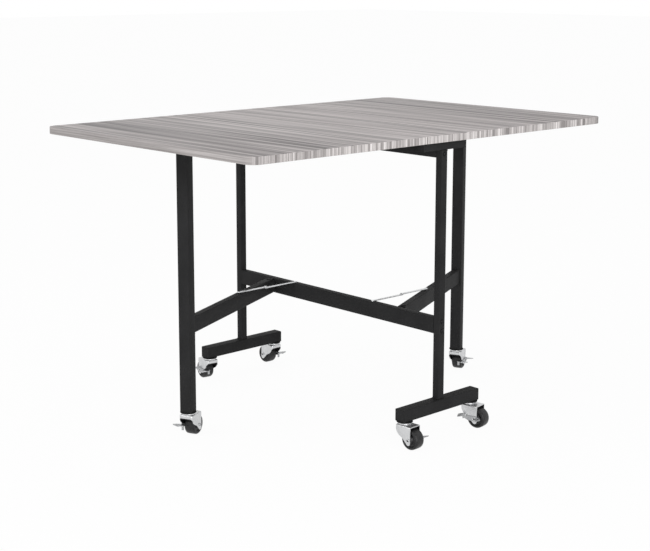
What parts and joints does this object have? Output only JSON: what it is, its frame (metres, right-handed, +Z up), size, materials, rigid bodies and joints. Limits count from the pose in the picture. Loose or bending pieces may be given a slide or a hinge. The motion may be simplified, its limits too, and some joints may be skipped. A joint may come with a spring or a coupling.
{
  "type": "folding dining table",
  "caption": "Folding dining table: centre panel with two drop leaves on a black tube frame, swinging gate legs with folding stays, and braked swivel casters.",
  "frame": {"origin": "on the floor under the middle of the table, at the bottom centre of its box", "axes": "+X along the table's length towards the right leaf, +Y towards the rear foot, +Z up"},
  "size_m": [1.22, 0.859, 0.75],
  "materials": {
    "laminate_board": "satin grey striped laminate",
    "black_tube": "satin black powder coat",
    "zinc_plate": "bright zinc plate",
    "bright_steel": "nickel plate",
    "dark_bolt_steel": "black oxide",
    "wheel_rubber": "matt dark grey"
  },
  "bodies": {
    "frame": {"centre_panel": "laminate_board", "front_post": "black_tube", "front_foot": "black_tube", "front_top_bar": "black_tube", "front_upper_bolt": "dark_bolt_steel", "front_lower_bolt": "dark_bolt_steel", "front_rail_bolt": "dark_bolt_steel", "rear_post": "black_tube", "rear_foot": "black_tube", "rear_top_bar": "black_tube", "rear_upper_bolt": "dark_bolt_steel", "rear_lower_bolt": "dark_bolt_steel", "rear_rail_bolt": "dark_bolt_steel", "stretcher": "black_tube", "top_rail": "black_tube", "left_gate_pivot": "black_tube", "right_gate_pivot": "black_tube", "left_front_hinge_fixed": "bright_steel", "left_rear_hinge_fixed": "bright_steel", "right_front_hinge_fixed": "bright_steel", "right_rear_hinge_fixed": "bright_steel", "front_left_caster_stem": "zinc_plate", "front_right_caster_stem": "zinc_plate", "rear_left_caster_stem": "zinc_plate", "rear_right_caster_stem": "zinc_plate"},
    "left_leaf": {"left_leaf": "laminate_board", "left_front_hinge_moving": "bright_steel", "left_rear_hinge_moving": "bright_steel"},
    "right_leaf": {"right_leaf": "laminate_board", "right_front_hinge_moving": "bright_steel", "right_rear_hinge_moving": "bright_steel"},
    "left_gate": {"left_gate_arm": "black_tube", "left_gate_leg": "black_tube", "left_gate_caster_stem": "zinc_plate"},
    "right_gate": {"right_gate_arm": "black_tube", "right_gate_leg": "black_tube", "right_gate_caster_stem": "zinc_plate"},
    "left_stay_long": {"left_stay_long": "bright_steel"},
    "left_stay_short": {"left_stay_short": "bright_steel"},
    "right_stay_long": {"right_stay_long": "bright_steel"},
    "right_stay_short": {"right_stay_short": "bright_steel"},
    "front_left_caster_fork": {"front_left_caster_fork": "zinc_plate"},
    "front_left_caster_wheel": {"front_left_caster_wheel": "wheel_rubber"},
    "front_left_caster_lever": {"front_left_caster_lever": "zinc_plate"},
    "front_right_caster_fork": {"front_right_caster_fork": "zinc_plate"},
    "front_right_caster_wheel": {"front_right_caster_wheel": "wheel_rubber"},
    "front_right_caster_lever": {"front_right_caster_lever": "zinc_plate"},
    "rear_left_caster_fork": {"rear_left_caster_fork": "zinc_plate"},
    "rear_left_caster_wheel": {"rear_left_caster_wheel": "wheel_rubber"},
    "rear_left_caster_lever": {"rear_left_caster_lever": "zinc_plate"},
    "rear_right_caster_fork": {"rear_right_caster_fork": "zinc_plate"},
    "rear_right_caster_wheel": {"rear_right_caster_wheel": "wheel_rubber"},
    "rear_right_caster_lever": {"rear_right_caster_lever": "zinc_plate"},
    "left_gate_caster_fork": {"left_gate_caster_fork": "zinc_plate"},
    "left_gate_caster_wheel": {"left_gate_caster_wheel": "wheel_rubber"},
    "left_gate_caster_lever": {"left_gate_caster_lever": "zinc_plate"},
    "right_gate_caster_fork": {"right_gate_caster_fork": "zinc_plate"},
    "right_gate_caster_wheel": {"right_gate_caster_wheel": "wheel_rubber"},
    "right_gate_caster_lever": {"right_gate_caster_lever": "zinc_plate"}
  },
  "joints": [
    {"name": "left_leaf_lift", "type": "hinge", "parent": "frame", "child": "left_leaf", "pos_m": [-0.07575, 0, 0.729], "axis": [0, 1, 0], "range_deg": [0, 3]},
    {"name": "right_leaf_lift", "type": "hinge", "parent": "frame", "child": "right_leaf", "pos_m": [0.07575, 0, 0.729], "axis": [0, -1, 0], "range_deg": [0, 3]},
    {"name": "left_gate_swing", "type": "hinge", "parent": "frame", "child": "left_gate", "pos_m": [-0.026, 0.23, 0], "axis": [0, 0, 1], "range_deg": [0, 65.4]},
    {"name": "right_gate_swing", "type": "hinge", "parent": "frame", "child": "right_gate", "pos_m": [0.026, -0.23, 0], "axis": [0, 0, 1], "range_deg": [0, 65.4]},
    {"name": "left_stay_long_turn", "type": "hinge", "parent": "frame", "child": "left_stay_long", "pos_m": [0, 0.148, 0.30005], "axis": [0, 0, 1], "range_deg": [0, 128.3]},
    {"name": "left_stay_short_turn", "type": "hinge", "parent": "left_stay_long", "child": "left_stay_short", "pos_m": [-0.10448, 0.15021, 0.30185], "axis": [0, 0, 1], "range_deg": [-113.5, 0]},
    {"name": "right_stay_long_turn", "type": "hinge", "parent": "frame", "child": "right_stay_long", "pos_m": [0, -0.148, 0.30005], "axis": [0, 0, 1], "range_deg": [0, 128.3]},
    {"name": "right_stay_short_turn", "type": "hinge", "parent": "right_stay_long", "child": "right_stay_short", "pos_m": [0.10448, -0.15021, 0.30185], "axis": [0, 0, 1], "range_deg": [-113.5, 0]},
    {"name": "front_left_caster_swivel", "type": "hinge", "parent": "frame", "child": "front_left_caster_fork", "pos_m": [-0.118, -0.377, 0.06], "axis": [0, 0, 1], "continuous": true},
    {"name": "front_left_wheel_roll", "type": "hinge", "parent": "front_left_caster_fork", "child": "front_left_caster_wheel", "pos_m": [-0.11707, -0.40378, 0.025], "axis": [0.9994, 0.0349, 0], "continuous": true},
    {"name": "front_left_brake_lever", "type": "hinge", "parent": "front_left_caster_fork", "child": "front_left_caster_lever", "pos_m": [-0.11707, -0.40378, 0.025], "axis": [-0.9994, -0.0349, 0], "range_deg": [0, 18]},
    {"name": "front_right_caster_swivel", "type": "hinge", "parent": "frame", "child": "front_right_caster_fork", "pos_m": [0.118, -0.377, 0.06], "axis": [0, 0, 1], "continuous": true},
    {"name": "front_right_wheel_roll", "type": "hinge", "parent": "front_right_caster_fork", "child": "front_right_caster_wheel", "pos_m": [0.12219, -0.40347, 0.025], "axis": [0.9877, 0.1564, 0], "continuous": true},
    {"name": "front_right_brake_lever", "type": "hinge", "parent": "front_right_caster_fork", "child": "front_right_caster_lever", "pos_m": [0.12219, -0.40347, 0.025], "axis": [-0.9877, -0.1564, 0], "range_deg": [0, 18]},
    {"name": "rear_left_caster_swivel", "type": "hinge", "parent": "frame", "child": "rear_left_caster_fork", "pos_m": [-0.118, 0.377, 0.06], "axis": [0, 0, 1], "continuous": true},
    {"name": "rear_left_wheel_roll", "type": "hinge", "parent": "rear_left_caster_fork", "child": "rear_left_caster_wheel", "pos_m": [-0.11404, 0.40351, 0.025], "axis": [-0.989, 0.1478, 0], "continuous": true},
    {"name": "rear_left_brake_lever", "type": "hinge", "parent": "rear_left_caster_fork", "child": "rear_left_caster_lever", "pos_m": [-0.11404, 0.40351, 0.025], "axis": [0.989, -0.1478, 0], "range_deg": [0, 18]},
    {"name": "rear_right_caster_swivel", "type": "hinge", "parent": "frame", "child": "rear_right_caster_fork", "pos_m": [0.118, 0.377, 0.06], "axis": [0, 0, 1], "continuous": true},
    {"name": "rear_right_wheel_roll", "type": "hinge", "parent": "rear_right_caster_fork", "child": "rear_right_caster_wheel", "pos_m": [0.11847, 0.4038, 0.025], "axis": [-0.9998, 0.0175, 0], "continuous": true},
    {"name": "rear_right_brake_lever", "type": "hinge", "parent": "rear_right_caster_fork", "child": "rear_right_caster_lever", "pos_m": [0.11847, 0.4038, 0.025], "axis": [0.9998, -0.0175, 0], "range_deg": [0, 18]},
    {"name": "left_gate_caster_swivel", "type": "hinge", "parent": "left_gate", "child": "left_gate_caster_fork", "pos_m": [-0.45789, 0.03227, 0.06], "axis": [0, 0, 1], "continuous": true},
    {"name": "left_gate_wheel_roll", "type": "hinge", "parent": "left_gate_caster_fork", "child": "left_gate_caster_wheel", "pos_m": [-0.43352, 0.04342, 0.025], "axis": [-0.4163, 0.9092, 0], "continuous": true},
    {"name": "left_gate_brake_lever", "type": "hinge", "parent": "left_gate_caster_fork", "child": "left_gate_caster_lever", "pos_m": [-0.43352, 0.04342, 0.025], "axis": [0.4163, -0.9092, 0], "range_deg": [0, 18]},
    {"name": "right_gate_caster_swivel", "type": "hinge", "parent": "right_gate", "child": "right_gate_caster_fork", "pos_m": [0.45789, -0.03227, 0.06], "axis": [0, 0, 1], "continuous": true},
    {"name": "right_gate_wheel_roll", "type": "hinge", "parent": "right_gate_caster_fork", "child": "right_gate_caster_wheel", "pos_m": [0.48225, -0.02111, 0.025], "axis": [-0.4163, 0.9092, 0], "continuous": true},
    {"name": "right_gate_brake_lever", "type": "hinge", "parent": "right_gate_caster_fork", "child": "right_gate_caster_lever", "pos_m": [0.48225, -0.02111, 0.025], "axis": [0.4163, -0.9092, 0], "range_deg": [0, 18]}
  ],
  "couplings": [
    {"joint": "left_stay_long_turn", "follows": "left_gate_swing", "ratio": 1.9615},
    {"joint": "left_stay_short_turn", "follows": "left_gate_swing", "ratio": -1.7341},
    {"joint": "right_stay_long_turn", "follows": "right_gate_swing", "ratio": 1.9615},
    {"joint": "right_stay_short_turn", "follows": "right_gate_swing", "ratio": -1.7341}
  ]
}
